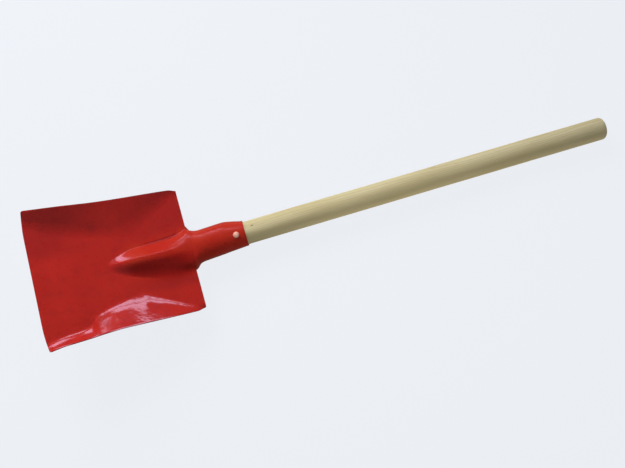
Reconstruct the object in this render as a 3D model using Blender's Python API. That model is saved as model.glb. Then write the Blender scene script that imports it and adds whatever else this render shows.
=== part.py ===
"""Garden spade with a square mouth: a dished blade and its rolled socket pressed from one steel sheet,
a straight round wooden handle, and a rivet with a washer that pins the handle in the socket.

Metres, +Z up.  The spade lies on its back with the scoop side up: the handle runs along +X, the mouth
points to -X, and the lowest point is at Z = 0.  The origin is the middle of the bounding box's underside.
"""

import math

import bmesh
import bpy
from mathutils import Vector

MM = 0.001

# ---------------------------------------------------------------- driving sizes, in millimetres
HANDLE_R = 14.0          # straight round handle, 28 mm across
HANDLE_END_X = 535.0     # butt of the handle, measured from the blade's shoulder
HANDLE_CHAMFER = 2.2
HANDLE_NOSE_X = -37.0    # hidden end, under the frog
HANDLE_NOSE_R = 6.5
HANDLE_CONE_X = 6.0      # the hidden cone starts here
HANDLE_PLANE_X = 26.0    # and its underside is planed off from here

SHEET = 1.2              # steel gauge
FIT = 0.3                # running gap between pieces

LIFT_DEG = 18.8          # angle between the blade's flat and the handle
AXIS_ABOVE = 0.6         # handle axis above the blade's flat, carried on to the shoulder
BLADE_LEN = 177.7        # mouth to shoulder, along the blade
SOCKET_END_X = 70.0      # open end of the socket

RIVET_X = 59.0
RIVET_TURN_DEG = 10.0    # the rivet stands this much off the crest
RIVET_SHANK_R = 2.0
RIVET_HEAD_R = 3.7
RIVET_HEAD_H = 2.0
RIVET_TAIL_R = 3.2
RIVET_TAIL_H = 1.3
RIVET_HOLE_R = 2.3
WASHER_R = 5.0
WASHER_H = 1.0

LIFT = math.radians(LIFT_DEG)
OUTER_R = HANDLE_R + FIT + SHEET     # outside of the socket where it grips the handle
LAP_R = OUTER_R + SHEET + 0.55       # outside of the outer lap


# ---------------------------------------------------------------- small maths
def smooth(x):
    x = min(1.0, max(0.0, x))
    return x * x * (3.0 - 2.0 * x)


def swift(x):
    """Like smooth, but quick off the mark."""
    x = min(1.0, max(0.0, x))
    return 1.0 - (1.0 - x) ** 2


def through(points):
    """A smooth curve through (x, y) points that never overshoots them."""
    xs = [p[0] for p in points]
    ys = [p[1] for p in points]
    n = len(xs)
    d = [(ys[i + 1] - ys[i]) / (xs[i + 1] - xs[i]) for i in range(n - 1)]
    m = [d[0]] + [0.0] * (n - 2) + [d[-1]]
    for i in range(1, n - 1):
        if d[i - 1] * d[i] > 0.0:
            m[i] = 2.0 * d[i - 1] * d[i] / (d[i - 1] + d[i])

    def at(x):
        if x <= xs[0]:
            return ys[0]
        if x >= xs[-1]:
            return ys[-1]
        i = max(k for k in range(n - 1) if xs[k] <= x)
        h = xs[i + 1] - xs[i]
        t = (x - xs[i]) / h
        return (
            (1 + 2 * t) * (1 - t) ** 2 * ys[i]
            + t * (1 - t) ** 2 * h * m[i]
            + t * t * (3 - 2 * t) * ys[i + 1]
            + t * t * (t - 1) * h * m[i + 1]
        )

    return at


# ---------------------------------------------------------------- the blade's shape
# up = distance from the mouth, u = distance from the shoulder, both along the blade;
# heights are above the flat of the pan
half_width = through([(0, 81.0), (20, 78.6), (42, 77.3), (62, 76.3), (82, 75.6), (110, 75.9), (150, 76.1), (167, 76.0), (177.7, 73.8)])
rim_height = through([(0, 9.6), (12, 12.2), (24, 13.6), (42, 14.0), (61, 13.4), (80, 12.6), (100, 10.9), (119, 10.0), (157, 9.6), (170, 9.1), (177.7, 8.0)])
# half the width of the pan's bottom: the creases close in to two thirds of the way back, then run out to the corners
far_lift = through([(0, 0.0), (20, 0.6), (45, 1.8), (90, 2.6), (120, 2.4), (150, 0.8), (177.7, 0.0)])
foot_half = through([(0, 64.0), (20, 54.0), (35, 47.5), (52, 41.5), (72, 35.5), (92, 31.5), (113, 29.5), (124, 34.0), (135, 42.0), (152, 53.5), (165, 62.5), (177.7, 70.5)])
# share of the side's width taken by the bend at its foot: a long roll at the front, a crease further back
far_bend = through([(0, 0.55), (20, 0.55), (52, 0.50), (72, 0.36), (92, 0.34), (113, 0.48), (135, 0.62), (152, 0.80), (177.7, 0.92)])
# the -Y side is pressed differently: a low flange at the front, then a crease that turns up in two goes
near_drop = through([(0, 4.4), (20, 6.6), (40, 6.8), (52, 5.4), (62, 3.1), (80, 1.0), (110, -0.8), (140, -0.4), (165, 1.0), (177.7, 2.4)])
near_foot = through([(0, 67.5), (20, 65.0), (40, 63.2), (50, 60.0), (55, 54.0), (59, 50.2), (66, 47.4), (75, 44.0), (84, 41.6), (94, 39.4), (103, 38.0), (111, 37.0), (121, 41.6), (134, 49.0), (149.5, 57.6), (165, 65.2), (172.7, 68.8), (177.7, 70.4)])
turn_a = through([(0, 0.40), (50, 0.30), (58, 0.12), (110, 0.11), (150, 0.16), (177.7, 0.30)])
turn_b = through([(0, 0.80), (50, 0.70), (58, 0.44), (110, 0.40), (150, 0.55), (177.7, 0.80)])
near_slide = through([(0, 0.0), (14, -0.2), (30, 0.2), (45, 0.2), (62, 0.2), (80, 0.1), (110, 0.0), (177.7, 0.0)])

RAMP_START = 110.0       # behind this the pan's bottom climbs to the shoulder
RAMP_RISE = 7.6
RAMP_BEND = 8.0

# the frog: the long raised hump that carries on from the socket into the blade
frog_half = through([(0, 28.0), (3, 25.2), (9, 22.0), (18, 19.6), (35, 18.0), (56, 16.6), (68, 15.6), (76, 13.2), (84, 10.0), (90, 7.2), (96, 5.0), (104, 4.0), (178, 4.0)])
near_frog = through([(0, 28.0), (10, 29.0), (20, 29.2), (31, 28.0), (42, 25.8), (53, 23.0), (64, 19.8), (75, 15.8), (84, 11.6), (92, 7.6), (98, 5.0), (106, 4.0), (178, 4.0)])
frog_height = through([(0, 16.9), (18, 15.4), (35, 13.6), (56, 10.8), (68, 8.2), (76, 6.0), (83, 3.9), (89, 2.0), (94, 0.7), (99, 0.0), (178, 0.0)])

# the socket: how far its wall stands off the snug radius, at the crest, on the lapped side and on the other
stand_top = through([(0, 1.1), (22, 1.5), (45, 1.1), (59, 0.2), (70, 0.0)])
stand_lap = through([(0, 4.0), (14, 4.3), (34, 4.9), (45, 5.2), (58, 2.9), (66, 0.7), (70, 0.0)])
stand_near = through([(0, 4.0), (12, 3.6), (22, 3.0), (36, 2.2), (48, 1.3), (60, 0.6), (70, 0.0)])

EAR_LAP_DEG = 204.0      # the outer lap goes round this far from the crest
EAR_NEAR_DEG = 200.0     # and the inner one this far the other way
MOUTH_LIP = 8.0          # the last stretch of the mouth dips a little
MOUTH_LIP_DROP = 0.5
MOUTH_BACK = 2.6         # the mouth's edge falls back this much over the sides
CORNER_R = 1.6


def level(up):
    """Height of the pan's bottom: flat, then a soft bend and a straight climb to the shoulder."""
    t = up - RAMP_START
    run = BLADE_LEN - RAMP_START
    return RAMP_RISE / run * (t + math.sqrt(t * t + RAMP_BEND**2)) / 2


def trapezoid(t, start, stop):
    """0 to 1 over t with a straight middle, easing in over start and easing out over stop."""
    t = min(max(t, 0.0), 1.0)
    total = 1.0 - (start + stop) / 2
    if t < start:
        return t * t / (2 * start) / total
    if t > 1.0 - stop:
        return 1.0 - (1.0 - t) ** 2 / (2 * stop) / total
    return (t - start / 2) / total


def near_profile(x, a, b, share=0.62):
    """The near wall turns up in two goes: most of its tilt within a, the rest by b, then it runs straight."""
    def run(q):
        if q < a:
            return share * q * q / (2 * a)
        h = share * a / 2
        if q < b:
            return h + share * (q - a) + (1 - share) * (q - a) ** 2 / (2 * (b - a))
        return h + share * (b - a) + (1 - share) * (b - a) / 2 + (q - b)
    return run(x) / run(1.0)


def side_profile(x, c):
    """Height share of the turned-up side, 0 at its foot to 1 at the rim."""
    return (x * x / (2 * c) if x < c else x - c / 2) / (1 - c / 2)


def frog_section(t, u):
    """(across, height) on the frog's section, t from -1 at the near foot over 0 at the crest to 1 at the far foot."""
    ground = level(BLADE_LEN - u)
    base, height = (near_frog(u) if t < 0 else frog_half(u)), max(0.0, frog_height(u) - ground)
    bell = smooth(u / 26.0) * (BELL_NEAR if t < 0 else BELL_FAR)
    y, h = frog_flank(abs(t), base, height)
    y += (base * abs(t) - y) * bell
    h += (height * (1.0 + math.cos(math.pi * abs(t))) / 2 - h) * bell
    if t > 0:     # the far flank is flat between a rounded crest and a tight foot
        flat = smooth(u / 34.0) * 0.92
        y += (base * t - y) * flat
        h += (height * (1.0 - trapezoid(t, 0.13, 0.11)) - h) * flat
    else:         # the near flank leans evenly and runs out softly
        lean = smooth(u / 34.0) * 0.85
        y += (base * abs(t) - y) * lean
        h += (height * (1.0 - trapezoid(abs(t), 0.28, 0.46)) - h) * lean
    return math.copysign(y, t), ground + h


def frog_flank(t, base, height):
    b, m = 0.78 * base, 0.33 * height
    split, stop = 0.62, math.radians(80.0)
    if t <= split:
        a = stop * t / split
        return b * math.sin(a), m + (height - m) * math.cos(a)
    k = (t - split) / (1 - split)
    p0 = (b * math.sin(stop), m + (height - m) * math.cos(stop))
    tangent = (b * math.cos(stop), -(height - m) * math.sin(stop))
    size = math.hypot(*tangent) or 1.0
    reach = 0.55 * p0[1]
    p1 = (p0[0] + tangent[0] / size * reach, p0[1] + tangent[1] / size * reach)
    p2 = (base - 0.60 * (base - p0[0]), 0.0)
    p3 = (base, 0.0)
    q = 1 - k
    across, up = (
        q**3 * p0[i] + 3 * q * q * k * p1[i] + 3 * q * k * k * p2[i] + k**3 * p3[i]
        for i in (0, 1)
    )
    return across, up


BELL_NEAR, BELL_FAR = 0.35, 0.20     # how far each flank runs out into a soft bell


def mouth_setback(v, w):
    """How far the mouth's edge falls back towards its corners."""
    back = MOUTH_BACK * max(0.0, (abs(v) - (w - 30.0)) / 30.0) ** 2
    edge = abs(v) - (w - CORNER_R)
    if edge > 0:
        back += CORNER_R - math.sqrt(max(0.0, CORNER_R**2 - edge**2))
    return back


def blade_point(up, across, height, w):
    """A point of the pan's top face."""
    up += mouth_setback(across, w) * smooth(1.0 - up / 45.0)
    if up < MOUTH_LIP:
        height -= MOUTH_LIP_DROP * (1.0 - up / MOUTH_LIP)
    u = BLADE_LEN - up
    return Vector(
        (
            -u * math.cos(LIFT) + height * math.sin(LIFT),
            across,
            -AXIS_ABOVE + u * math.sin(LIFT) + height * math.cos(LIFT),
        )
    )


def spine(s):
    """Where the socket's sections stand: base point, lean, height of the handle's axis above the base."""
    turn, steps = 20.0, 40
    x, z = 0.0, -AXIS_ABOVE
    ds = s / steps
    for i in range(steps):
        lean = LIFT * (1.0 - smooth((i + 0.5) * ds / turn))
        x += math.cos(lean) * ds
        z -= math.sin(lean) * ds
    lean = LIFT * (1.0 - smooth(s / turn))
    return x, z, lean, -z / math.cos(lean)


SOCKET_LEN = next(s / 20 for s in range(1200, 1800) if spine(s / 20)[0] >= SOCKET_END_X)


def socket_radius(theta, x):
    """Outside radius of the socket's wall, theta in radians from the crest, positive on the lapped side."""
    lapped = theta > 0
    side = OUTER_R + (stand_lap(x) if lapped else stand_near(x))
    top = OUTER_R + stand_top(x)
    under = LAP_R if lapped else OUTER_R
    a = abs(theta)
    if a <= math.pi / 2:
        return top * math.cos(a) ** 2 + side * math.sin(a) ** 2
    if a <= math.pi:
        return side * math.sin(a) ** 2 + under * math.cos(a) ** 2
    return under


def socket_point(s, t):
    """A point of the socket's outside face: t from -1 (near ear's edge) over 0 (crest) to 1 (lap's edge)."""
    x, z, lean, centre = spine(s)
    y0, w0 = frog_section(abs(t), 0.0)
    centre0 = AXIS_ABOVE / math.cos(LIFT)
    theta0 = math.atan2(y0, w0 - centre0)
    r0 = math.hypot(y0, w0 - centre0)
    ear = math.radians(EAR_LAP_DEG if t > 0 else EAR_NEAR_DEG)
    round_it = 0.5 * smooth(s / 36.0) + 0.5 * swift(s / 36.0)
    theta = theta0 + (ear * abs(t) - theta0) * round_it
    sign = 1.0 if t > 0 else -1.0
    shrink = 0.3 * smooth(s / 15.0) + 0.7 * swift(s / 15.0)
    r = r0 + (socket_radius(sign * theta, x) - r0) * shrink
    y, w = r * math.sin(theta) * sign, centre + r * math.cos(theta)
    return Vector((x + w * math.sin(lean), y, z + w * math.cos(lean)))


def spade_sheet(strip_n, flat_n, wall_n, ups, socket_s):
    """The sheet's front face as (points, quads): the scoop, its frog and the socket in one grid."""
    points, quads = [], []

    def add(p):
        points.append(p * MM)
        return len(points) - 1

    strip_t = [k / strip_n for k in range(-strip_n, strip_n + 1)]
    rows = []
    for up in ups:
        u = BLADE_LEN - up
        w, foot, ground = half_width(up), foot_half(up), level(up)
        base, rise = frog_half(u), rim_height(up) - level(up)
        base_n, foot_n, rise_n = near_frog(u), near_foot(up), rise - near_drop(up)
        w_n = w + near_slide(up)
        w_f, rise_f = w - 0.25 * far_lift(up), rise + far_lift(up)
        near, side = [], []
        for k in range(1, flat_n + 1):
            side.append((base + (foot - base) * k / flat_n, ground))
            near.append((base_n + (foot_n - base_n) * k / flat_n, ground))
        for k in range(1, wall_n + 1):
            x = (k / wall_n) ** 1.2
            side.append((foot + (w_f - foot) * x, ground + rise_f * side_profile(x, far_bend(up))))
            near.append((foot_n + (w_n - foot_n) * x, ground + rise_n * near_profile(x, turn_a(up), turn_b(up))))
        row = [add(blade_point(up, -y, h, w_n)) for y, h in reversed(near)]
        for t in strip_t:
            y, h = frog_section(t, u)
            row.append(add(blade_point(up, y, h, w)))
        row += [add(blade_point(up, y, h, w_f)) for y, h in side]
        rows.append(row)
    for a, b in zip(rows, rows[1:]):
        for j in range(len(a) - 1):
            quads.append((a[j], b[j], b[j + 1], a[j + 1]))
    first = flat_n + wall_n
    last = rows[-1][first : first + len(strip_t)]
    for s in socket_s:
        row = [add(socket_point(s, t)) for t in strip_t]
        for j in range(len(row) - 1):
            quads.append((last[j], row[j], row[j + 1], last[j + 1]))
        last = row
    return points, quads


# ---------------------------------------------------------------- Blender helpers
def clear():
    for obj in list(bpy.data.objects):
        bpy.data.objects.remove(obj, do_unlink=True)


def material(name, colour, roughness, metallic):
    mat = bpy.data.materials.new(name)
    mat.use_nodes = True
    shader = mat.node_tree.nodes["Principled BSDF"]
    shader.inputs["Base Color"].default_value = (*colour, 1.0)
    shader.inputs["Roughness"].default_value = roughness
    shader.inputs["Metallic"].default_value = metallic
    mat.diffuse_color = (*colour, 1.0)
    return mat


def finish(bm, name, mat, parent=None):
    bmesh.ops.recalc_face_normals(bm, faces=bm.faces)
    mesh = bpy.data.meshes.new(name)
    bm.to_mesh(mesh)
    bm.free()
    obj = bpy.data.objects.new(name, mesh)
    bpy.context.scene.collection.objects.link(obj)
    if mat:
        mesh.materials.append(mat)
    mesh.shade_smooth()
    mesh.set_sharp_from_angle(angle=math.radians(38))
    if parent:
        obj.parent = parent
    return obj


def lathe(bm, profile, sides, start, axis):
    """A closed turned solid: profile is (distance along the axis, radius) with a radius of 0 at both ends."""
    axis = axis.normalized()
    side = Vector((0, 1, 0)) if abs(axis.y) < 0.9 else Vector((1, 0, 0))
    e1 = (side - axis * side.dot(axis)).normalized()
    e2 = axis.cross(e1)
    rings = []
    for along, r in profile:
        centre = start + axis * along
        if r <= 0:
            rings.append([bm.verts.new(centre)])
            continue
        rings.append(
            [
                bm.verts.new(
                    centre
                    + e1 * r * math.cos(2 * math.pi * i / sides)
                    + e2 * r * math.sin(2 * math.pi * i / sides)
                )
                for i in range(sides)
            ]
        )
    for a, b in zip(rings, rings[1:]):
        for i in range(sides):
            j = (i + 1) % sides
            if len(a) == 1:
                bm.faces.new((a[0], b[j], b[i]))
            elif len(b) == 1:
                bm.faces.new((a[i], a[j], b[0]))
            else:
                bm.faces.new((a[i], a[j], b[j], b[i]))


def cutter(name, profile, sides, start, axis, parent):
    bm = bmesh.new()
    lathe(bm, profile, sides, start, axis)
    obj = finish(bm, name, None, parent)
    obj.hide_render = True
    obj.display_type = "WIRE"
    return obj


def drill(obj, tool):
    cut = obj.modifiers.new("rivet hole", "BOOLEAN")
    cut.operation = "DIFFERENCE"
    cut.solver = "EXACT"
    cut.object = tool


# ---------------------------------------------------------------- the pieces
def make_blade(root, tool):
    ups = [0, 4, 8, 16, 26, 38, 48, 58, 68, 78, 86, 94, 102, 110, 118, 128, 138, 148, 157, 165, 171.5, 175, BLADE_LEN]
    socket_s = [1.5, 4, 7, 11, 16, 22, 28, 34, 42, 50, 56, 61, 66, SOCKET_LEN]
    points, quads = spade_sheet(11, 4, 6, ups, socket_s)
    bm = bmesh.new()
    verts = [bm.verts.new(p) for p in points]
    for q in quads:
        bm.faces.new([verts[i] for i in q])
    mesh = bpy.data.meshes.new("blade_with_socket")
    bm.to_mesh(mesh)
    bm.free()
    obj = bpy.data.objects.new("blade_with_socket", mesh)
    bpy.context.scene.collection.objects.link(obj)
    mesh.materials.append(material("red_enamel", (0.40, 0.018, 0.012), 0.22, 0.0))
    mesh.shade_smooth()
    obj.parent = root
    skin = obj.modifiers.new("sheet gauge", "SOLIDIFY")
    skin.thickness = SHEET * MM
    skin.offset = -1.0
    skin.use_even_offset = True
    skin.use_rim = True
    drill(obj, tool)
    return obj


def make_handle(root, tool):
    bm = bmesh.new()
    r = HANDLE_R * MM
    start = Vector((HANDLE_NOSE_X * MM, 0, 0))

    def at(x):
        return (x - HANDLE_NOSE_X) * MM

    lathe(
        bm,
        [
            (0, 0),
            (at(HANDLE_NOSE_X), HANDLE_NOSE_R * MM),
            (at(HANDLE_CONE_X), r),
            (at(40), r),
            (at(RIVET_X + 15), r),
            (at(230), r),
            (at(390), r),
            (at(HANDLE_END_X - HANDLE_CHAMFER), r),
            (at(HANDLE_END_X - 0.45), r - (HANDLE_CHAMFER - 0.7) * MM),
            (at(HANDLE_END_X), r - (HANDLE_CHAMFER + 0.6) * MM),
            (at(HANDLE_END_X), 0),
        ],
        40,
        start,
        Vector((1, 0, 0)),
    )
    # the hidden nose is planed off at the blade's own slope
    down = Vector((-math.sin(LIFT), 0, -math.cos(LIFT)))
    cut = bmesh.ops.bisect_plane(
        bm,
        geom=bm.verts[:] + bm.edges[:] + bm.faces[:],
        plane_co=Vector((HANDLE_PLANE_X * MM, 0, -r)),
        plane_no=down,
        clear_outer=True,
    )
    edges = [e for e in cut["geom_cut"] if isinstance(e, bmesh.types.BMEdge)]
    bmesh.ops.contextual_create(bm, geom=edges)
    obj = finish(bm, "handle", material("bare_wood", (0.56, 0.43, 0.25), 0.62, 0.0), root)
    drill(obj, tool)
    return obj


def make_rivet(root):
    turn = math.radians(RIVET_TURN_DEG)
    out = Vector((0, -math.sin(turn), math.cos(turn)))
    front = (OUTER_R + 0.75) * MM
    back = (LAP_R + FIT + WASHER_H + 0.12) * MM
    centre = Vector((RIVET_X * MM, 0, 0))
    zinc = material("zinc_plated_steel", (0.60, 0.57, 0.54), 0.32, 1.0)

    # head on the scoop side, then the shank, then the peened tail
    head, hr = RIVET_HEAD_H * MM, RIVET_HEAD_R * MM
    tail, tr = RIVET_TAIL_H * MM, RIVET_TAIL_R * MM
    profile = [(-back - tail, 0)]
    for deg in (18, 40, 62, 82):
        a = math.radians(deg)
        profile.append((-back - tail * math.cos(a), tr * math.sin(a)))
    profile += [(-back, tr), (-back, RIVET_SHANK_R * MM), (front, RIVET_SHANK_R * MM), (front, hr)]
    for deg in (82, 62, 40, 18):
        a = math.radians(deg)
        profile.append((front + head * math.cos(a), hr * math.sin(a)))
    profile.append((front + head, 0))
    bm = bmesh.new()
    lathe(bm, profile, 20, centre, out)
    finish(bm, "rivet", zinc, root)

    # the washer under the tail
    bm = bmesh.new()
    inner, outer = RIVET_HOLE_R * MM, WASHER_R * MM
    low, high = (LAP_R + FIT) * MM, (LAP_R + FIT + WASHER_H) * MM
    side = Vector((1, 0, 0))
    other = out.cross(side)
    sides = 24
    loops = []
    for r, d in ((inner, low), (outer, low), (outer, high), (inner, high)):
        loops.append(
            [
                bm.verts.new(
                    centre
                    - out * d
                    + side * r * math.cos(2 * math.pi * i / sides)
                    + other * r * math.sin(2 * math.pi * i / sides)
                )
                for i in range(sides)
            ]
        )
    for a, b in zip(loops, loops[1:] + loops[:1]):
        for i in range(sides):
            j = (i + 1) % sides
            bm.faces.new((a[i], a[j], b[j], b[i]))
    finish(bm, "rivet_washer", zinc, root)


def main():
    clear()
    # the pieces are modelled about the point where the handle's axis crosses the shoulder
    root = bpy.data.objects.new("spade", None)
    bpy.context.scene.collection.objects.link(root)

    turn = math.radians(RIVET_TURN_DEG)
    out = Vector((0, -math.sin(turn), math.cos(turn)))
    reach = 40 * MM
    tool = cutter(
        "rivet_drill",
        [(-reach, 0), (-reach, RIVET_HOLE_R * MM), (reach, RIVET_HOLE_R * MM), (reach, 0)],
        16,
        Vector((RIVET_X * MM, 0, 0)),
        out,
        root,
    )
    blade = make_blade(root, tool)
    handle = make_handle(root, tool)
    make_rivet(root)

    # lay it down the way it rests, on the underside of the socket and the edge of the butt
    def corners():
        bpy.context.view_layer.update()
        graph = bpy.context.evaluated_depsgraph_get()
        found = []
        for obj in root.children:
            if obj.hide_render:
                continue
            solid = obj.evaluated_get(graph)
            found += [solid.matrix_world @ v.co for v in solid.to_mesh().vertices]
            solid.to_mesh_clear()
        return found

    for _ in range(3):
        points = corners()
        heel = min((p for p in points if p.x < root.location.x + 0.2), key=lambda p: p.z)
        butt = min((p for p in points if p.x > root.location.x + 0.4), key=lambda p: p.z)
        root.rotation_euler.y += math.atan2(butt.z - heel.z, butt.x - heel.x)

    # centred, with the lowest point at Z = 0
    points = corners()
    low = Vector([min(p[i] for p in points) for i in range(3)])
    high = Vector([max(p[i] for p in points) for i in range(3)])
    root.location = (-(low.x + high.x) / 2, -(low.y + high.y) / 2, -low.z)
    bpy.context.view_layer.update()
    return root


main()
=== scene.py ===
"""The looks of a square-mouth garden spade: red enamelled sheet-steel scoop and socket, bare wooden handle, rivet and washer.

Metres, +Z up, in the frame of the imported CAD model.  The pieces are shaped by the same rules as the CAD nodes they stand for,
sampled more finely, with the small relief, rounded edges and surface finish that the CAD leaves out.
"""

import math

import bmesh
import bpy
import numpy as np
from mathutils import Matrix, Vector, kdtree, noise


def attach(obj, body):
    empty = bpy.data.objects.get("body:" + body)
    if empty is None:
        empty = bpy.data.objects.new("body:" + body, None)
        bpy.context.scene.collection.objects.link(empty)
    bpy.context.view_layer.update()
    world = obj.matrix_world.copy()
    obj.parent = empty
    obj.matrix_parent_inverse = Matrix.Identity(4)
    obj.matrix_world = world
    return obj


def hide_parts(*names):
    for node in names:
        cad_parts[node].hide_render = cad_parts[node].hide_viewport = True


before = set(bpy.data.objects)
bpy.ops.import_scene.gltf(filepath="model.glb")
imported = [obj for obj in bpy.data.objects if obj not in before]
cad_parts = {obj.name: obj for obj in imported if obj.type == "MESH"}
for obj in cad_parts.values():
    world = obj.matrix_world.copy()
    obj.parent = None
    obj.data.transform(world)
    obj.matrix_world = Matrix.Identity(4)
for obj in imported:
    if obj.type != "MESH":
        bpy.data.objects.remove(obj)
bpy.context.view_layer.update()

MM = 0.001

# ================================================================ sizes shared with the CAD, in millimetres
HANDLE_R = 14.0
HANDLE_END_X = 535.0
HANDLE_CHAMFER = 2.2
HANDLE_NOSE_X = -37.0
HANDLE_NOSE_R = 6.5
HANDLE_CONE_X = 6.0
HANDLE_PLANE_X = 26.0

SHEET = 1.2
FIT = 0.3

LIFT_DEG = 18.8
AXIS_ABOVE = 0.6
BLADE_LEN = 177.7
SOCKET_END_X = 70.0

RIVET_X = 59.0
RIVET_TURN_DEG = 10.0
RIVET_SHANK_R = 2.0
RIVET_HEAD_R = 3.7
RIVET_HEAD_H = 2.0
RIVET_TAIL_R = 3.2
RIVET_TAIL_H = 1.3
RIVET_HOLE_R = 2.3
WASHER_R = 5.0
WASHER_H = 1.0

LIFT = math.radians(LIFT_DEG)
OUTER_R = HANDLE_R + FIT + SHEET
LAP_R = OUTER_R + SHEET + 0.55

# where the shoulder point stands in the row frame, and how the whole spade leans as it rests
TILT = math.radians(0.6984)
PLACE = Matrix.Translation((-0.183545, 0.0, 0.020493)) @ Matrix.Rotation(TILT, 4, "Y")


# ================================================================ small maths
def smooth(x):
    x = min(1.0, max(0.0, x))
    return x * x * (3.0 - 2.0 * x)


def swift(x):
    x = min(1.0, max(0.0, x))
    return 1.0 - (1.0 - x) ** 2


def bump(x, centre, width):
    """1 at the centre, falling softly to 0 at a distance of width."""
    return smooth(1.0 - abs(x - centre) / width)


def through(points):
    """A smooth curve through (x, y) points that never overshoots them."""
    xs = [p[0] for p in points]
    ys = [p[1] for p in points]
    n = len(xs)
    d = [(ys[i + 1] - ys[i]) / (xs[i + 1] - xs[i]) for i in range(n - 1)]
    m = [d[0]] + [0.0] * (n - 2) + [d[-1]]
    for i in range(1, n - 1):
        if d[i - 1] * d[i] > 0.0:
            m[i] = 2.0 * d[i - 1] * d[i] / (d[i - 1] + d[i])

    def at(x):
        if x <= xs[0]:
            return ys[0]
        if x >= xs[-1]:
            return ys[-1]
        i = max(k for k in range(n - 1) if xs[k] <= x)
        h = xs[i + 1] - xs[i]
        t = (x - xs[i]) / h
        return (
            (1 + 2 * t) * (1 - t) ** 2 * ys[i]
            + t * (1 - t) ** 2 * h * m[i]
            + t * t * (3 - 2 * t) * ys[i + 1]
            + t * t * (t - 1) * h * m[i + 1]
        )

    return at


# ================================================================ the blade's shape, as in the CAD
half_width = through([(0, 81.0), (20, 78.6), (42, 77.3), (62, 76.3), (82, 75.6), (110, 75.9), (150, 76.1), (167, 76.0), (177.7, 73.8)])
rim_height = through([(0, 9.6), (12, 12.2), (24, 13.6), (42, 14.0), (61, 13.4), (80, 12.6), (100, 10.9), (119, 10.0), (157, 9.6), (170, 9.1), (177.7, 8.0)])
foot_half = through([(0, 64.0), (20, 54.0), (35, 47.5), (52, 41.5), (72, 35.5), (92, 31.5), (113, 29.5), (124, 34.0), (135, 42.0), (152, 53.5), (165, 62.5), (177.7, 70.5)])
far_lift = through([(0, 0.0), (20, 0.6), (45, 1.8), (90, 2.6), (120, 2.4), (150, 0.8), (177.7, 0.0)])
# the near side is pressed differently at the front: a low flange, and the crease only starts a third of the way back
near_drop = through([(0, 4.4), (20, 6.6), (40, 6.8), (52, 5.4), (62, 3.1), (80, 1.0), (110, -0.8), (140, -0.4), (165, 1.0), (177.7, 2.4)])
near_foot = through([(0, 67.5), (20, 65.0), (40, 63.2), (50, 60.0), (55, 54.0), (59, 50.2), (66, 47.4), (75, 44.0), (84, 41.6), (94, 39.4), (103, 38.0), (111, 37.0), (121, 41.6), (134, 49.0), (149.5, 57.6), (165, 65.2), (172.7, 68.8), (177.7, 70.4)])
near_slide = through([(0, 0.0), (14, -0.2), (30, 0.2), (45, 0.2), (62, 0.2), (80, 0.1), (110, 0.0), (177.7, 0.0)])
turn_a = through([(0, 0.40), (50, 0.30), (58, 0.12), (110, 0.11), (150, 0.16), (177.7, 0.30)])
turn_b = through([(0, 0.80), (50, 0.70), (58, 0.44), (110, 0.40), (150, 0.55), (177.7, 0.80)])
far_bend = through([(0, 0.55), (20, 0.55), (52, 0.50), (72, 0.36), (92, 0.34), (113, 0.48), (135, 0.62), (152, 0.80), (177.7, 0.92)])

RAMP_START = 110.0
RAMP_RISE = 7.6
RAMP_BEND = 8.0

frog_half = through([(0, 28.0), (3, 25.2), (9, 22.0), (18, 19.6), (35, 18.0), (56, 16.6), (68, 15.6), (76, 13.2), (84, 10.0), (90, 7.2), (96, 5.0), (104, 4.0), (178, 4.0)])
near_frog = through([(0, 28.0), (10, 29.0), (20, 29.2), (31, 28.0), (42, 25.8), (53, 23.0), (64, 19.8), (75, 15.8), (84, 11.6), (92, 7.6), (98, 5.0), (106, 4.0), (178, 4.0)])
frog_height = through([(0, 16.9), (18, 15.4), (35, 13.6), (56, 10.8), (68, 8.2), (76, 6.0), (83, 3.9), (89, 2.0), (94, 0.7), (99, 0.0), (178, 0.0)])

stand_top = through([(0, 1.1), (22, 1.5), (45, 1.1), (59, 0.2), (70, 0.0)])
stand_lap = through([(0, 4.0), (14, 4.3), (34, 4.9), (45, 5.2), (58, 2.9), (66, 0.7), (70, 0.0)])
stand_near = through([(0, 4.0), (12, 3.6), (22, 3.0), (36, 2.2), (48, 1.3), (60, 0.6), (70, 0.0)])

EAR_LAP_DEG = 204.0
EAR_NEAR_DEG = 200.0
MOUTH_LIP = 8.0
MOUTH_LIP_DROP = 0.5
MOUTH_BACK = 2.6
CORNER_R = 1.6


def level(up):
    t = up - RAMP_START
    run = BLADE_LEN - RAMP_START
    return RAMP_RISE / run * (t + math.sqrt(t * t + RAMP_BEND**2)) / 2


def trapezoid(t, start, stop):
    """0 to 1 over t with a straight middle, easing in over start and easing out over stop."""
    t = min(max(t, 0.0), 1.0)
    total = 1.0 - (start + stop) / 2
    if t < start:
        return t * t / (2 * start) / total
    if t > 1.0 - stop:
        return 1.0 - (1.0 - t) ** 2 / (2 * stop) / total
    return (t - start / 2) / total


def near_profile(x, a, b, share=0.62):
    """The near wall turns up in two goes: most of its tilt within a, the rest by b, then it runs straight."""
    def run(q):
        if q < a:
            return share * q * q / (2 * a)
        h = share * a / 2
        if q < b:
            return h + share * (q - a) + (1 - share) * (q - a) ** 2 / (2 * (b - a))
        return h + share * (b - a) + (1 - share) * (b - a) / 2 + (q - b)
    return run(x) / run(1.0)


def side_profile(x, c):
    return (x * x / (2 * c) if x < c else x - c / 2) / (1 - c / 2)


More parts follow.
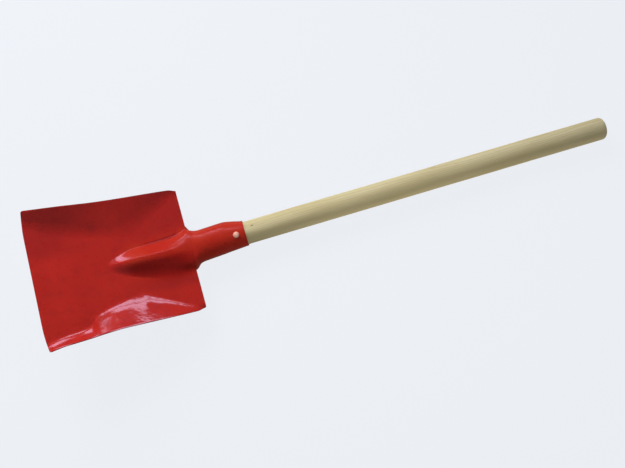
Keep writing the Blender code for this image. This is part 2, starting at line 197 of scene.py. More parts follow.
def frog_section(t, u):
    """(across, height) on the frog's section, t from -1 at the near foot over 0 at the crest to 1 at the far foot."""
    ground = level(BLADE_LEN - u)
    base, height = (near_frog(u) if t < 0 else frog_half(u)), max(0.0, frog_height(u) - ground)
    bell = smooth(u / 26.0) * (BELL_NEAR if t < 0 else BELL_FAR)
    y, h = frog_flank(abs(t), base, height)
    y += (base * abs(t) - y) * bell
    h += (height * (1.0 + math.cos(math.pi * abs(t))) / 2 - h) * bell
    if t > 0:     # the far flank is flat between a rounded crest and a tight foot
        flat = smooth(u / 34.0) * 0.92
        y += (base * t - y) * flat
        h += (height * (1.0 - trapezoid(t, 0.13, 0.11)) - h) * flat
    else:         # the near flank leans evenly and runs out softly
        lean = smooth(u / 34.0) * 0.85
        y += (base * abs(t) - y) * lean
        h += (height * (1.0 - trapezoid(abs(t), 0.28, 0.46)) - h) * lean
    return math.copysign(y, t), ground + h


def frog_flank(t, base, height):
    b, m = 0.78 * base, 0.33 * height
    split, stop = 0.62, math.radians(80.0)
    if t <= split:
        a = stop * t / split
        return b * math.sin(a), m + (height - m) * math.cos(a)
    k = (t - split) / (1 - split)
    p0 = (b * math.sin(stop), m + (height - m) * math.cos(stop))
    tangent = (b * math.cos(stop), -(height - m) * math.sin(stop))
    size = math.hypot(*tangent) or 1.0
    reach = 0.55 * p0[1]
    p1 = (p0[0] + tangent[0] / size * reach, p0[1] + tangent[1] / size * reach)
    p2 = (base - 0.60 * (base - p0[0]), 0.0)
    p3 = (base, 0.0)
    q = 1 - k
    across, up = (
        q**3 * p0[i] + 3 * q * q * k * p1[i] + 3 * q * k * k * p2[i] + k**3 * p3[i]
        for i in (0, 1)
    )
    return across, up


BELL_NEAR, BELL_FAR = 0.35, 0.20     # how far each flank runs out into a soft bell


def mouth_setback(v, w):
    back = MOUTH_BACK * max(0.0, (abs(v) - (w - 30.0)) / 30.0) ** 2
    edge = abs(v) - (w - CORNER_R)
    if edge > 0:
        back += CORNER_R - math.sqrt(max(0.0, CORNER_R**2 - edge**2))
    return back


def blade_point(up, across, height, w):
    up += mouth_setback(across, w) * smooth(1.0 - up / 45.0)
    if up < MOUTH_LIP:
        height -= MOUTH_LIP_DROP * (1.0 - up / MOUTH_LIP)
    u = BLADE_LEN - up
    return (
        -u * math.cos(LIFT) + height * math.sin(LIFT),
        across,
        -AXIS_ABOVE + u * math.sin(LIFT) + height * math.cos(LIFT),
    )


def spine(s):
    turn, steps = 20.0, 40
    x, z = 0.0, -AXIS_ABOVE
    ds = s / steps
    for i in range(steps):
        lean = LIFT * (1.0 - smooth((i + 0.5) * ds / turn))
        x += math.cos(lean) * ds
        z -= math.sin(lean) * ds
    lean = LIFT * (1.0 - smooth(s / turn))
    return x, z, lean, -z / math.cos(lean)


SOCKET_LEN = next(s / 20 for s in range(1200, 1800) if spine(s / 20)[0] >= SOCKET_END_X)


def socket_radius(theta, x):
    lapped = theta > 0
    side = OUTER_R + (stand_lap(x) if lapped else stand_near(x))
    top = OUTER_R + stand_top(x)
    under = LAP_R if lapped else OUTER_R
    a = abs(theta)
    if a <= math.pi / 2:
        return top * math.cos(a) ** 2 + side * math.sin(a) ** 2
    if a <= math.pi:
        return side * math.sin(a) ** 2 + under * math.cos(a) ** 2
    return under


def socket_point(s, t):
    x, z, lean, centre = spine(s)
    y0, w0 = frog_section(abs(t), 0.0)
    centre0 = AXIS_ABOVE / math.cos(LIFT)
    theta0 = math.atan2(y0, w0 - centre0)
    r0 = math.hypot(y0, w0 - centre0)
    ear = math.radians(EAR_LAP_DEG if t > 0 else EAR_NEAR_DEG)
    round_it = 0.5 * smooth(s / 36.0) + 0.5 * swift(s / 36.0)
    theta = theta0 + (ear * abs(t) - theta0) * round_it
    sign = 1.0 if t > 0 else -1.0
    shrink = 0.3 * smooth(s / 15.0) + 0.7 * swift(s / 15.0)
    r = r0 + (socket_radius(sign * theta, x) - r0) * shrink
    y, w = r * math.sin(theta) * sign, centre + r * math.cos(theta)
    return (x + w * math.sin(lean), y, z + w * math.cos(lean))


# ================================================================ relief that only the looks have
def wander(x, y, scale, seed):
    """Smooth noise about 0, features about `scale` millimetres across."""
    return noise.noise(Vector((x / scale, y / scale, seed)))


def pan_relief(up, across, height_share):
    """How far the pan's face stands off the CAD's, in millimetres: soft press marks."""
    foot = foot_half(up)
    out = abs(across) - foot
    lift = 0.0
    # the flats are never quite flat
    lift += 0.16 * wander(up, across, 46.0, 3.1) + 0.05 * wander(up, across, 17.0, 8.4)
    if height_share > 0:
        lift += 0.10 * wander(up * 0.7, across, 15.0, 12.7) * min(1.0, height_share * 3)
    return lift


# ================================================================ mesh helpers
def new_object(name, mesh):
    obj = bpy.data.objects.new(name, mesh)
    bpy.context.scene.collection.objects.link(obj)
    return obj


def settled(obj):
    """The object with its modifiers applied."""
    bpy.context.view_layer.update()
    graph = bpy.context.evaluated_depsgraph_get()
    mesh = bpy.data.meshes.new_from_object(obj.evaluated_get(graph))
    obj.modifiers.clear()
    old = obj.data
    obj.data = mesh
    bpy.data.meshes.remove(old)
    mesh.name = obj.name
    return obj


def lathe(bm, profile, sides, start, axis):
    """A closed turned solid: profile is (distance along the axis, radius) with a radius of 0 at both ends."""
    axis = axis.normalized()
    side = Vector((0, 1, 0)) if abs(axis.y) < 0.9 else Vector((1, 0, 0))
    e1 = (side - axis * side.dot(axis)).normalized()
    e2 = axis.cross(e1)
    rings = []
    for along, r in profile:
        centre = start + axis * along
        if r <= 0:
            rings.append([bm.verts.new(centre)])
            continue
        rings.append(
            [
                bm.verts.new(centre + e1 * r * math.cos(2 * math.pi * i / sides) + e2 * r * math.sin(2 * math.pi * i / sides))
                for i in range(sides)
            ]
        )
    for a, b in zip(rings, rings[1:]):
        for i in range(sides):
            j = (i + 1) % sides
            if len(a) == 1:
                bm.faces.new((a[0], b[j], b[i]))
            elif len(b) == 1:
                bm.faces.new((a[i], a[j], b[0]))
            else:
                bm.faces.new((a[i], a[j], b[j], b[i]))


def turned(name, profile, sides, start, axis):
    bm = bmesh.new()
    lathe(bm, profile, sides, start, axis)
    bmesh.ops.recalc_face_normals(bm, faces=bm.faces)
    mesh = bpy.data.meshes.new(name)
    bm.to_mesh(mesh)
    bm.free()
    return new_object(name, mesh)


def place(obj, sharp_deg=42.0):
    obj.data.transform(PLACE)
    obj.data.shade_smooth()
    obj.data.set_sharp_from_angle(angle=math.radians(sharp_deg))
    obj.data.update()
    return obj


def drill_tool():
    turn = math.radians(RIVET_TURN_DEG)
    out = Vector((0, -math.sin(turn), math.cos(turn)))
    reach, r = 0.040, RIVET_HOLE_R * MM
    tool = turned("drill", [(-reach, 0), (-reach, r), (reach, r), (reach, 0)], 40, Vector((RIVET_X * MM, 0, 0)), out)
    tool.hide_render = True
    return tool


def store(mesh, name, values):
    layer = mesh.attributes.new(name, "FLOAT", "POINT")
    layer.data.foreach_set("value", np.asarray(values, np.float32))


# ================================================================ blade and socket, one pressed sheet
def rows_along(length, step, extra=()):
    n = max(1, round(length / step))
    return sorted(set([length * i / n for i in range(n + 1)] + list(extra)))


def make_blade(tool):
    strip_n, flat_n, wall_n = 26, 14, 26
    ups = rows_along(BLADE_LEN, 1.6, (0.5, 1.1, 176.6, 177.2))
    socket_s = [s for s in rows_along(SOCKET_LEN, 1.4, (0.5, SOCKET_LEN - 0.5)) if s > 0]
    points, quads, tags = [], [], []

    def add(p, tag):
        points.append(p)
        tags.append(tag)
        return len(points) - 1

    strip_t = [k / strip_n for k in range(-strip_n, strip_n + 1)]
    rows = []
    for up in ups:
        u = BLADE_LEN - up
        w, foot, ground = half_width(up), foot_half(up), level(up)
        base, rise = frog_half(u), rim_height(up) - level(up)
        near, side = [], []
        base_n, foot_n, w_n = near_frog(u), near_foot(up), w + near_slide(up)
        rise_n = rise - near_drop(up)
        w_f, rise_f = w - 0.25 * far_lift(up), rise + far_lift(up)
        for k in range(1, flat_n + 1):
            side.append((base + (foot - base) * k / flat_n, ground, 0.0))
            near.append((base_n + (foot_n - base_n) * k / flat_n, ground, 0.0))
        for k in range(1, wall_n + 1):
            x = (k / wall_n) ** 1.15
            near.append((foot_n + (w_n - foot_n) * x, ground + rise_n * near_profile(x, turn_a(up), turn_b(up)), x))
            side.append((foot + (w_f - foot) * x, ground + rise_f * side_profile(x, far_bend(up)), x))
        row = []
        for y, h, x in reversed(near):
            row.append(add(blade_point(up, -y, h + pan_relief(up, -y, x), w_n), (0, up, -y, x)))
        for t in strip_t:
            y, h = frog_section(t, u)
            row.append(add(blade_point(up, y, h + pan_relief(up, y, 0.0) * smooth((BLADE_LEN - up) / 20), w), (1, up, y, 0.0)))
        for y, h, x in side:
            row.append(add(blade_point(up, y, h + pan_relief(up, y, x), w_f), (0, up, y, x)))
        rows.append(row)
    for a, b in zip(rows, rows[1:]):
        for j in range(len(a) - 1):
            quads.append((a[j], b[j], b[j + 1], a[j + 1]))
    first = flat_n + wall_n
    last = rows[-1][first : first + len(strip_t)]
    strips = [row[first : first + len(strip_t)] for row in rows[-14:]]
    for s in socket_s:
        row = [add(socket_point(s, t), (2, s, t, 0.0)) for t in strip_t]
        for j in range(len(row) - 1):
            quads.append((last[j], row[j], row[j + 1], last[j + 1]))
        last = row
        if len(strips) < 30:
            strips.append(row)
    # the neck: the frog flows into the socket without a kink
    for _ in range(16):
        fresh = {}
        for i in range(2, len(strips) - 2):
            soft = 0.5 * smooth((i - 1) / 5.0) * smooth((len(strips) - 2 - i) / 5.0)
            for j, t in enumerate(strip_t):
                keep = soft * (1.0 - abs(t) ** 6)
                a, here, b = (points[strips[k][j]] for k in (i - 1, i, i + 1))
                fresh[strips[i][j]] = tuple(h + keep * ((p + q) / 2 - h) for p, h, q in zip(a, here, b))
        for k, v in fresh.items():
            points[k] = v

    mesh = bpy.data.meshes.new("spade_blade")
    mesh.from_pydata([(p[0] * MM, p[1] * MM, p[2] * MM) for p in points], [], quads)
    mesh.update()
    border = set()
    bm = bmesh.new()
    bm.from_mesh(mesh)
    bm.verts.ensure_lookup_table()
    for e in bm.edges:
        if e.is_boundary:
            border.update(v.index for v in e.verts)
    bm.free()
    obj = new_object("spade_blade", mesh)
    skin = obj.modifiers.new("gauge", "SOLIDIFY")
    skin.thickness = SHEET * MM
    skin.offset = -1.0
    skin.use_even_offset = True
    skin.use_rim = True
    cut = obj.modifiers.new("hole", "BOOLEAN")
    cut.operation = "DIFFERENCE"
    cut.solver = "EXACT"
    cut.object = tool
    ease = obj.modifiers.new("edges", "BEVEL")
    ease.width = 0.34 * MM
    ease.segments = 3
    ease.limit_method = "ANGLE"
    ease.angle_limit = math.radians(55)
    ease.miter_outer = "MITER_ARC"
    settled(obj)

    # what the finish needs to know about each point of the sheet
    tree = kdtree.KDTree(len(points))
    for i, p in enumerate(points):
        tree.insert(Vector(p) * MM, i)
    tree.balance()
    edge_tree = kdtree.KDTree(len(border))
    for k, i in enumerate(sorted(border)):
        edge_tree.insert(Vector(points[i]) * MM, i)
    edge_tree.balance()
    edge, mouth, shade, dull_and_sheen = [], [], [], []
    mesh = obj.data
    for v in mesh.vertices:
        _, i, far = tree.find(v.co)
        kind, a, b, x = tags[i]
        edge.append(min(8.0, edge_tree.find(v.co)[2] / MM))
        mouth.append(min(60.0, a) if kind < 2 else 60.0)
        # painted shade: the pan darker towards the socket and in its far front corner, the frog's near flank darker, a
        # dark line in the crease along its far foot
        painted_shade = 0.0
        if kind == 0:
            painted_shade = smooth((a - 80.0) / 75.0) * smooth((abs(b) - frog_half(BLADE_LEN - a)) / 14.0)
            if b < 0:
                painted_shade *= 1.0 - smooth((abs(b) - 36.0) / 12.0)
            else:
                painted_shade = max(painted_shade, 1.15 * smooth((b - 14.0) / 20.0) * (1.0 - smooth((a - 18.0) / 48.0)) * (1.0 - smooth(x / 0.45)))
        elif kind == 1 and b < 0:
            painted_shade = 1.3 * smooth((-b - 2.0) / 8.0) * smooth((a - 78.0) / 14.0) * (1.0 - 0.45 * smooth((a - 158.0) / 20.0))
        if kind < 2 and b > 0:     # painted shade in the crease along the far foot of the frog
            u = BLADE_LEN - a
            line = 1.0 - smooth(abs(b - frog_half(u) + 0.4) / 2.6)
            painted_shade = max(painted_shade, 1.5 * line * smooth((u - 8.0) / 8.0) * (1.0 - smooth((u - 40.0) / 22.0)))
        shade.append(painted_shade)
        # where the paint is dull and carries a painted sheen: the socket, the rear of the frog and the pan just beside
        # it
        dull_sheen_mask = 1.0 if kind == 2 else smooth((a - 95.0) / 15.0)
        if kind == 0:
            beside = abs(b) - (frog_half if b > 0 else near_frog)(BLADE_LEN - a)
            dull_sheen_mask *= 1.0 - smooth((beside - 1.0) / 6.0)
        dull_and_sheen.append(dull_sheen_mask)
    store(mesh, "edge_mm", edge)
    store(mesh, "mouth_mm", mouth)
    store(mesh, "painted_shade", shade)
    store(mesh, "dull_paint_and_sheen", dull_and_sheen)
    return place(obj)


# ================================================================ handle
def handle_shape(x, angle):
    """Radius of the handle: turned, then sanded by hand, so it wanders a little."""
    c, s = math.cos(angle), math.sin(angle)
    r = HANDLE_R - 0.05
    r += 0.09 * noise.noise(Vector((x / 70.0, c * 0.8, s * 0.8)))
    r += 0.035 * noise.noise(Vector((x / 16.0, c * 2.0 + 9.0, s * 2.0)))
    return r


def make_handle(tool):
    sides = 96
    xs = [HANDLE_NOSE_X, -22.0, -8.0, HANDLE_CONE_X]
    xs += [HANDLE_CONE_X + (HANDLE_END_X - HANDLE_CHAMFER - 1.4 - HANDLE_CONE_X) * i / 170 for i in range(1, 171)]
    rings = []
    for x in xs:
        if x < HANDLE_CONE_X:
            k = (x - HANDLE_NOSE_X) / (HANDLE_CONE_X - HANDLE_NOSE_X)
            rings.append((x, [HANDLE_NOSE_R + (HANDLE_R - 0.05 - HANDLE_NOSE_R) * k] * sides))
        else:
            rings.append((x, [handle_shape(x, 2 * math.pi * i / sides) for i in range(sides)]))
    # the butt: a rounded arris, then the sawn end
    round_r = 2.8
    for k in range(1, 9):
        a = math.pi / 2 * k / 8
        x = HANDLE_END_X - round_r + round_r * math.sin(a)
        rings.append((x, [handle_shape(HANDLE_END_X - 3, 2 * math.pi * i / sides) - round_r * (1 - math.cos(a)) * 1.0 for i in range(sides)]))
    for share in (0.82, 0.6, 0.38, 0.16):
        rings.append((HANDLE_END_X - 0.03 * (1 - share), [(HANDLE_R - round_r) * share] * sides))

    bm = bmesh.new()
    loops = []
    for x, radii in rings:
        loops.append(
            [
                bm.verts.new((x * MM, r * math.cos(2 * math.pi * i / sides) * MM, r * math.sin(2 * math.pi * i / sides) * MM))
                for i, r in enumerate(radii)
            ]
        )
    tip = bm.verts.new((HANDLE_NOSE_X * MM, 0, 0))
    butt = bm.verts.new(((HANDLE_END_X - 0.03) * MM, 0, 0))
    for a, b in zip(loops, loops[1:]):
        for i in range(sides):
            j = (i + 1) % sides
            bm.faces.new((a[i], a[j], b[j], b[i]))
    for i in range(sides):
        j = (i + 1) % sides
        bm.faces.new((tip, loops[0][j], loops[0][i]))
        bm.faces.new((butt, loops[-1][i], loops[-1][j]))
    down = Vector((-math.sin(LIFT), 0, -math.cos(LIFT)))
    cut = bmesh.ops.bisect_plane(
        bm,
        geom=bm.verts[:] + bm.edges[:] + bm.faces[:],
        plane_co=Vector((HANDLE_PLANE_X * MM, 0, -HANDLE_R * MM)),
        plane_no=down,
        clear_outer=True,
    )
    edges = [e for e in cut["geom_cut"] if isinstance(e, bmesh.types.BMEdge)]
    bmesh.ops.contextual_create(bm, geom=edges)
    bmesh.ops.recalc_face_normals(bm, faces=bm.faces)
    mesh = bpy.data.meshes.new("spade_handle")
    bm.to_mesh(mesh)
    bm.free()
    obj = new_object("spade_handle", mesh)
    hole = obj.modifiers.new("hole", "BOOLEAN")
    hole.operation = "DIFFERENCE"
    hole.solver = "EXACT"
    hole.object = tool
    settled(obj)
    # the grain runs along the handle: keep the handle's own axes for the wood
    flat = np.zeros(len(obj.data.vertices) * 3)
    obj.data.vertices.foreach_get("co", flat)
    layer = obj.data.attributes.new("grain", "FLOAT_VECTOR", "POINT")
    layer.data.foreach_set("vector", flat.astype(np.float32))
    return place(obj)


# ================================================================ rivet and washer
def make_rivet():
    turn = math.radians(RIVET_TURN_DEG)
    out = Vector((0, -math.sin(turn), math.cos(turn)))
    front = (OUTER_R + 0.75) * MM
    back = (LAP_R + FIT + WASHER_H + 0.12) * MM
    centre = Vector((RIVET_X * MM, 0, 0))
    head, hr = RIVET_HEAD_H * MM, RIVET_HEAD_R * MM
    tail, tr = RIVET_TAIL_H * MM, RIVET_TAIL_R * MM
    profile = [(-back - tail, 0)]
    for k in range(1, 12):
        a = math.radians(86) * k / 11
        profile.append((-back - tail * math.cos(a) ** 0.8, tr * math.sin(a)))
    profile += [(-back, tr * 0.985), (-back, RIVET_SHANK_R * MM), (front, RIVET_SHANK_R * MM), (front, hr * 0.985)]
    for k in range(14, 0, -1):
        a = math.radians(86) * k / 14
        profile.append((front + head * math.cos(a) ** 0.9, hr * math.sin(a)))
    profile.append((front + head, 0))
    rivet = turned("spade_rivet", profile, 56, centre, out)
    # the peened tail spreads a little unevenly
    for v in rivet.data.vertices:
        along = (v.co - centre).dot(out)
        if along < -back - 0.0001:
            v.co += Vector((noise.noise(v.co * 900), noise.noise(v.co * 900 + Vector((5, 0, 0))), noise.noise(v.co * 900 + Vector((0, 5, 0))))) * 0.00014
    place(rivet, 50)

    inner, outer = RIVET_HOLE_R * MM, WASHER_R * MM
    low, high = (LAP_R + FIT) * MM, (LAP_R + FIT + WASHER_H) * MM
    e = 0.16 * MM
    section = [(inner, low + e), (inner + e, low), (outer - e, low), (outer, low + e), (outer, high - 2 * e), (outer - 0.4 * e, high - 0.7 * e), (outer - 1.4 * e, high), (inner + e, high), (inner, high - e)]
    side = Vector((1, 0, 0))
    other = out.cross(side)
    bm = bmesh.new()
    sides = 64
    loops = [
        [bm.verts.new(centre - out * d + side * r * math.cos(2 * math.pi * i / sides) + other * r * math.sin(2 * math.pi * i / sides)) for i in range(sides)]
        for r, d in section
    ]
    for a, b in zip(loops, loops[1:] + loops[:1]):
        for i in range(sides):
            j = (i + 1) % sides
            bm.faces.new((a[i], a[j], b[j], b[i]))
    bmesh.ops.recalc_face_normals(bm, faces=bm.faces)
    mesh = bpy.data.meshes.new("spade_washer")
    bm.to_mesh(mesh)
    bm.free()
    washer = place(new_object("spade_washer", mesh), 50)
    return rivet, washer


# ================================================================ finishes
class Graph:
    """A short way to write a material's nodes."""

    def __init__(self, name):
        self.mat = bpy.data.materials.new(name)
        self.mat.use_nodes = True
        self.tree = self.mat.node_tree
        self.shader = self.tree.nodes["Principled BSDF"]

    def node(self, kind, settings=None, **inputs):
        n = self.tree.nodes.new(kind)
        for key, value in (settings or {}).items():
            setattr(n, key, value)
        for key, value in inputs.items():
            self.set(n.inputs[key.replace("_", " ")], value)
        return n

    def set(self, socket, value):
        if isinstance(value, bpy.types.NodeSocket):
            self.tree.links.new(value, socket)
        else:
            socket.default_value = value

    def math(self, operation, a, b=0.0, c=None, clamp=False):
        n = self.tree.nodes.new("ShaderNodeMath")
        n.operation = operation
        n.use_clamp = clamp
        self.set(n.inputs[0], a)
        self.set(n.inputs[1], b)
        if c is not None:
            self.set(n.inputs[2], c)
        return n.outputs[0]

    def mix(self, factor, a, b, blend="MIX"):
        n = self.tree.nodes.new("ShaderNodeMix")
        n.data_type = "RGBA"
        n.blend_type = blend
        self.set(n.inputs[0], factor)
        self.set(n.inputs[6], a)
        self.set(n.inputs[7], b)
        return n.outputs[2]

    def ramp(self, factor, low, high, to_low=0.0, to_high=1.0, kind="SMOOTHSTEP"):
        n = self.tree.nodes.new("ShaderNodeMapRange")
        n.interpolation_type = kind
        for i, value in enumerate((factor, low, high, to_low, to_high)):
            self.set(n.inputs[i], value)
        return n.outputs[0]

    def attribute(self, name, output="Fac"):
        n = self.tree.nodes.new("ShaderNodeAttribute")
        n.attribute_name = name
        return n.outputs[output]

    def noise(self, vector, scale, detail=2.0, rough=0.5, distortion=0.0):
        n = self.node("ShaderNodeTexNoise")
        self.set(n.inputs["Vector"], vector)
        self.set(n.inputs["Scale"], scale)
        self.set(n.inputs["Detail"], detail)
        self.set(n.inputs["Roughness"], rough)
        self.set(n.inputs["Distortion"], distortion)
        return n.outputs["Fac"]


def rgb(r, g, b):
    return (r, g, b, 1.0)


def red_enamel():
    g = Graph("red_enamel")
    where = g.node("ShaderNodeTexCoord").outputs["Object"]
    edge, mouth = g.attribute("edge_mm"), g.attribute("mouth_mm")
    broad = g.noise(where, 22.0, 3.0, 0.55)
    patch = g.noise(where, 90.0, 3.0, 0.6)
    fine = g.noise(where, 900.0, 2.0, 0.6)
    red = g.mix(g.ramp(broad, 0.35, 0.68), rgb(0.440, 0.0120, 0.0060), rgb(0.490, 0.0150, 0.0072))
    red = g.mix(g.ramp(patch, 0.45, 0.75, 0.0, 0.35), red, rgb(0.30, 0.009, 0.007))
    # painted shade: the red darkens where the painted_shade attribute is set
    red = g.mix(g.math("MULTIPLY", g.attribute("painted_shade"), 0.52), red, rgb(0.27, 0.0065, 0.0045))
    # painted sheen: over the frog and socket the red turns orange like a soft reflection, and darker where
    # painted_shade is set, a painted shade
    red = g.mix(g.math("MULTIPLY", g.attribute("dull_paint_and_sheen"), g.ramp(broad, 0.30, 0.70, 0.30, 0.62)), red, g.mix(0.86, rgb(0.46, 0.006, 0.004), g.mix(g.attribute("painted_shade"), rgb(0.405, 0.033, 0.014), rgb(0.22, 0.008, 0.005))))
    thin = g.math("MULTIPLY", g.ramp(edge, 0.9, 0.1), g.ramp(patch, 0.42, 0.62, 0.35, 1.0))
    red = g.mix(g.math("MULTIPLY", thin, 0.5), red, rgb(0.20, 0.012, 0.010))
    g.set(g.shader.inputs["Base Color"], red)
    rough = g.ramp(g.noise(where, 140.0, 3.0, 0.6), 0.3, 0.75, 0.26, 0.36)
    g.set(g.shader.inputs["Roughness"], rough)
    # the brushed paint over the frog and socket has sunk in and lost most of its shine
    worn = g.math("MULTIPLY", g.attribute("dull_paint_and_sheen"), g.ramp(patch, 0.30, 0.62, 0.72, 0.97))
    g.set(g.shader.inputs["Coat Weight"], g.math("SUBTRACT", 1.0, worn))
    g.shader.inputs["Specular IOR Level"].default_value = 0.15
    g.shader.inputs["Coat Roughness"].default_value = 0.05
    g.shader.inputs["Coat IOR"].default_value = 1.6
    peel = g.noise(where, 420.0, 2.0, 0.5)
    slow = g.noise(where, 130.0, 1.0, 0.5)
    height = g.math("ADD", g.math("MULTIPLY", peel, 0.35), g.math("MULTIPLY", slow, 1.0))
    height = g.math("ADD", height, g.math("MULTIPLY", fine, 0.05))
    relief = g.node("ShaderNodeBump", Strength=0.35, Distance=0.00025, Height=height)
    g.set(g.shader.inputs["Normal"], relief.outputs[0])
    g.set(g.shader.inputs["Coat Normal"], relief.outputs[0])
    return g.mat


def bare_wood():
    g = Graph("bare_wood")
    grain = g.attribute("grain", "Vector")
    split = g.node("ShaderNodeSeparateXYZ", Vector=grain)
    x, y, z = split.outputs
    # growth rings round a pith that runs beside the handle, wandering along its length
    drift = g.noise(g.node("ShaderNodeCombineXYZ", X=g.math("MULTIPLY", x, 3.0)).outputs[0], 1.3, 2.0, 0.5)
    py = g.math("ADD", g.math("ADD", y, 0.031), g.math("MULTIPLY", g.math("SUBTRACT", drift, 0.5), 0.012))
    pz = g.math("ADD", g.math("ADD", z, 0.020), g.math("MULTIPLY", x, 0.006))
    far = g.math("SQRT", g.math("ADD", g.math("MULTIPLY", py, py), g.math("MULTIPLY", pz, pz)))
    wave = g.noise(g.node("ShaderNodeCombineXYZ", X=g.math("MULTIPLY", x, 6.0), Y=g.math("MULTIPLY", y, 60.0), Z=g.math("MULTIPLY", z, 60.0)).outputs[0], 1.0, 3.0, 0.55)
    turns = g.math("ADD", g.math("MULTIPLY", far, 620.0), g.math("MULTIPLY", wave, 1.1))
    ring = g.math("FRACT", turns)
    late = g.math("MULTIPLY", g.ramp(ring, 0.45, 0.93), g.ramp(ring, 1.0, 0.95))
    fibre = g.noise(g.node("ShaderNodeCombineXYZ", X=g.math("MULTIPLY", x, 22.0), Y=g.math("MULTIPLY", y, 1500.0), Z=g.math("MULTIPLY", z, 1500.0)).outputs[0], 1.0, 3.0, 0.6)
    pores = g.noise(g.node("ShaderNodeCombineXYZ", X=g.math("MULTIPLY", x, 90.0), Y=g.math("MULTIPLY", y, 3600.0), Z=g.math("MULTIPLY", z, 3600.0)).outputs[0], 1.0, 2.0, 0.5)
    broad = g.noise(g.node("ShaderNodeCombineXYZ", X=g.math("MULTIPLY", x, 9.0), Y=g.math("MULTIPLY", y, 90.0), Z=g.math("MULTIPLY", z, 90.0)).outputs[0], 1.0, 3.0, 0.5)
    tone = g.mix(g.ramp(broad, 0.3, 0.7), rgb(0.560, 0.500, 0.272), rgb(0.640, 0.585, 0.348))
    tone = g.mix(g.math("MULTIPLY", late, 0.40), tone, rgb(0.44, 0.340, 0.165))
    tone = g.mix(g.ramp(fibre, 0.45, 0.8, 0.0, 0.45), tone, rgb(0.46, 0.365, 0.185))
    tone = g.mix(g.ramp(pores, 0.62, 0.8, 0.0, 0.5), tone, rgb(0.27, 0.185, 0.095))
    # a pin knot near the socket
    dy = g.math("SUBTRACT", x, 0.0800)
    ang = g.math("SUBTRACT", y, 0.0035)
    knot = g.math("SQRT", g.math("ADD", g.math("MULTIPLY", dy, g.math("MULTIPLY", dy, 0.35)), g.math("MULTIPLY", ang, ang)))
    knot = g.math("MULTIPLY", g.ramp(knot, 0.0013, 0.0004), g.ramp(z, 0.0, 0.004))
    tone = g.mix(g.math("MULTIPLY", knot, 0.75), tone, rgb(0.16, 0.085, 0.035))
    g.set(g.shader.inputs["Base Color"], tone)
    g.set(g.shader.inputs["Roughness"], g.ramp(fibre, 0.3, 0.8, 0.56, 0.70))
    g.shader.inputs["Specular IOR Level"].default_value = 0.35
    height = g.math("SUBTRACT", g.math("MULTIPLY", fibre, -0.6), g.math("MULTIPLY", pores, 0.5))
    height = g.math("ADD", height, g.math("MULTIPLY", late, 0.35))
    relief = g.node("ShaderNodeBump", Strength=0.45, Distance=0.00018, Height=height)
    g.set(g.shader.inputs["Normal"], relief.outputs[0])
    return g.mat


def plated_steel(name, tint, rough_low, rough_high, bare=1.0):
    g = Graph(name)
    where = g.node("ShaderNodeTexCoord").outputs["Object"]
    blotch = g.noise(where, 700.0, 3.0, 0.6)
    fine = g.noise(where, 3500.0, 2.0, 0.6)
    colour = g.mix(g.ramp(blotch, 0.35, 0.7), rgb(*[c * 0.80 for c in tint]), rgb(*tint))
    g.set(g.shader.inputs["Base Color"], colour)
    g.shader.inputs["Metallic"].default_value = bare
    g.set(g.shader.inputs["Roughness"], g.ramp(blotch, 0.3, 0.75, rough_high, rough_low))
    relief = g.node("ShaderNodeBump", Strength=0.4, Distance=0.00008, Height=g.math("ADD", fine, g.math("MULTIPLY", blotch, 1.5)))
    g.set(g.shader.inputs["Normal"], relief.outputs[0])
    return g.mat


# ================================================================ build
tool = drill_tool()
blade = make_blade(tool)
handle = make_handle(tool)
rivet, washer = make_rivet()
bpy.data.objects.remove(tool, do_unlink=True)

for piece, finish_of, node, slot in (
    (blade, red_enamel(), "blade_with_socket", "red_enamel"),
    (handle, bare_wood(), "handle", "bare_wood"),
    (rivet, plated_steel("rivet_steel", (1.0, 0.51, 0.39), 0.26, 0.44, 0.0), "rivet", "rivet_steel"),
    (washer, plated_steel("washer_steel", (0.66, 0.64, 0.61), 0.30, 0.50, 0.75), "rivet_washer", "washer_steel"),
):
    piece.data.materials.clear()
    piece.data.materials.append(finish_of)
    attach(piece, "root")
    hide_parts(node)

# ================================================================ floor, light and camera
BACKDROP = rgb(0.8388, 0.8632, 0.9047)
FLOOR_SIZE = 6.0
mesh = bpy.data.meshes.new("floor")
mesh.from_pydata([(-FLOOR_SIZE, -FLOOR_SIZE, -0.0003), (FLOOR_SIZE, -FLOOR_SIZE, -0.0003), (FLOOR_SIZE, FLOOR_SIZE, -0.0003), (-FLOOR_SIZE, FLOOR_SIZE, -0.0003)], [], [(0, 1, 2, 3)])
floor = new_object("floor", mesh)
# the floor glows instead of being lit: camera rays see an even backdrop glow that leaves only a breath of the spade's
# shadow, other rays see a warm glow under the handle and towards +Y that lights the spade from below
g = Graph("pale_floor")
g.shader.inputs["Base Color"].default_value = rgb(0.050, 0.052, 0.056)
g.shader.inputs["Roughness"].default_value = 0.9
g.shader.inputs["Specular IOR Level"].default_value = 0.0
seen = g.node("ShaderNodeLightPath").outputs["Is Camera Ray"]
g.set(g.shader.inputs["Emission Color"], g.mix(seen, rgb(0.95, 0.86, 0.70), BACKDROP))
spot = g.node("ShaderNodeSeparateXYZ", Vector=g.node("ShaderNodeTexCoord").outputs["Object"])
spill = g.math("MAXIMUM", g.ramp(spot.outputs["Y"], 0.04, 0.22, 0.20, 0.8), g.ramp(spot.outputs["X"], -0.18, 0.0, 0.0, 0.68))
g.set(g.shader.inputs["Emission Strength"], g.ramp(seen, 0.0, 1.0, spill, 0.955, "LINEAR"))
floor.data.materials.append(g.mat)

TARGET = PLACE @ Vector((-0.090, 0.0, 0.025))


def toward(azimuth, elevation):
    a, e = math.radians(azimuth), math.radians(elevation)
    return Vector((math.cos(e) * math.cos(a), math.cos(e) * math.sin(a), math.sin(e)))


